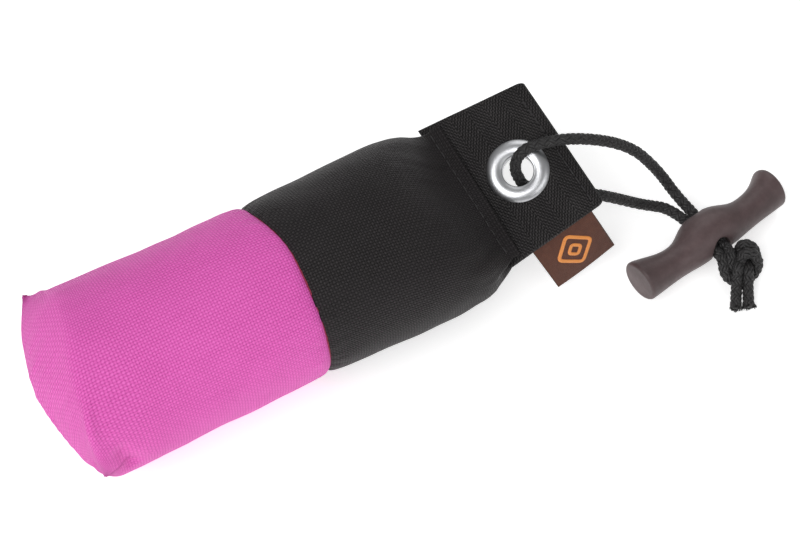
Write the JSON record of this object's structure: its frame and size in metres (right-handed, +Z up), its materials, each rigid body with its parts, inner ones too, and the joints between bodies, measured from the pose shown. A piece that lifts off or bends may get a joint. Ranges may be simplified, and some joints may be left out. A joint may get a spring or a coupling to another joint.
{
  "type": "training bumper",
  "caption": "Small filled cloth training bumper in two colours, with a webbing tab, rolled eyelet, woven label and a doubled throwing cord knotted behind a toggle grip.",
  "frame": {"origin": "middle of the flat patch under the body, on the surface it rests on", "axes": "+X along the body towards the tab and cord, +Z up, +Y completes a right-handed frame"},
  "size_m": [0.2199, 0.084, 0.0513],
  "materials": {
    "pink_canvas": "coarse plain weave",
    "black_canvas": "coarse plain weave, slight sheen",
    "black_webbing": "herringbone webbing",
    "liner_cloth": "plain cotton",
    "granulate": "loose granulate",
    "red_thread": "polyester thread",
    "pink_thread": "polyester thread",
    "black_thread": "polyester thread",
    "plated_steel": "bright plated",
    "brown_label": "woven damask",
    "orange_thread": "satin stitch",
    "black_cord": "plaited",
    "grey_brown_plastic": "matt moulded"
  },
  "bodies": {
    "bumper": {"front_cover": "pink_canvas", "rear_cover": "black_canvas", "neck_hem": "black_canvas", "strap_anchor": "black_webbing", "inner_bag": "liner_cloth", "granulate_fill": "granulate", "liner_closure": "liner_cloth", "ring_seam_thread": "red_thread", "end_seam_stitches": "pink_thread", "neck_stitches": "black_thread"},
    "tab": {"tab_webbing": "black_webbing", "eyelet": "plated_steel", "eyelet_washer": "plated_steel", "tab_end_stitches": "black_thread"},
    "label": {"label": "brown_label", "label_motif": "orange_thread"},
    "cord": {"throw_cord": "black_cord", "cord_knot": "black_cord", "cord_tail_left": "black_cord", "cord_tail_right": "black_cord"},
    "toggle": {"toggle": "grey_brown_plastic"}
  },
  "joints": [
    {"name": "tab_flex", "type": "hinge", "parent": "bumper", "child": "tab", "pos_m": [0.06616, 0.00047, 0.02556], "axis": [-0.1011, 0.9507, 0.2931], "range_deg": [-40, 6], "stiffness_Nm_per_rad": 0.12},
    {"name": "label_flap", "type": "hinge", "parent": "tab", "child": "label", "pos_m": [0.08154, -0.01755, 0.02181], "axis": [0.9569, 0.042, 0.2875], "range_deg": [-60, 0]},
    {"name": "cord_swing", "type": "hinge", "parent": "tab", "child": "cord", "pos_m": [0.07737, 0.00085, 0.02955], "axis": [-0.31, -0.31, 0.8988], "range_deg": [0, 30]},
    {"name": "toggle_swivel", "type": "hinge", "parent": "cord", "child": "toggle", "pos_m": [0.1228, -0.03115, 0.007], "axis": [0.167, -0.986, 0], "continuous": true}
  ]
}
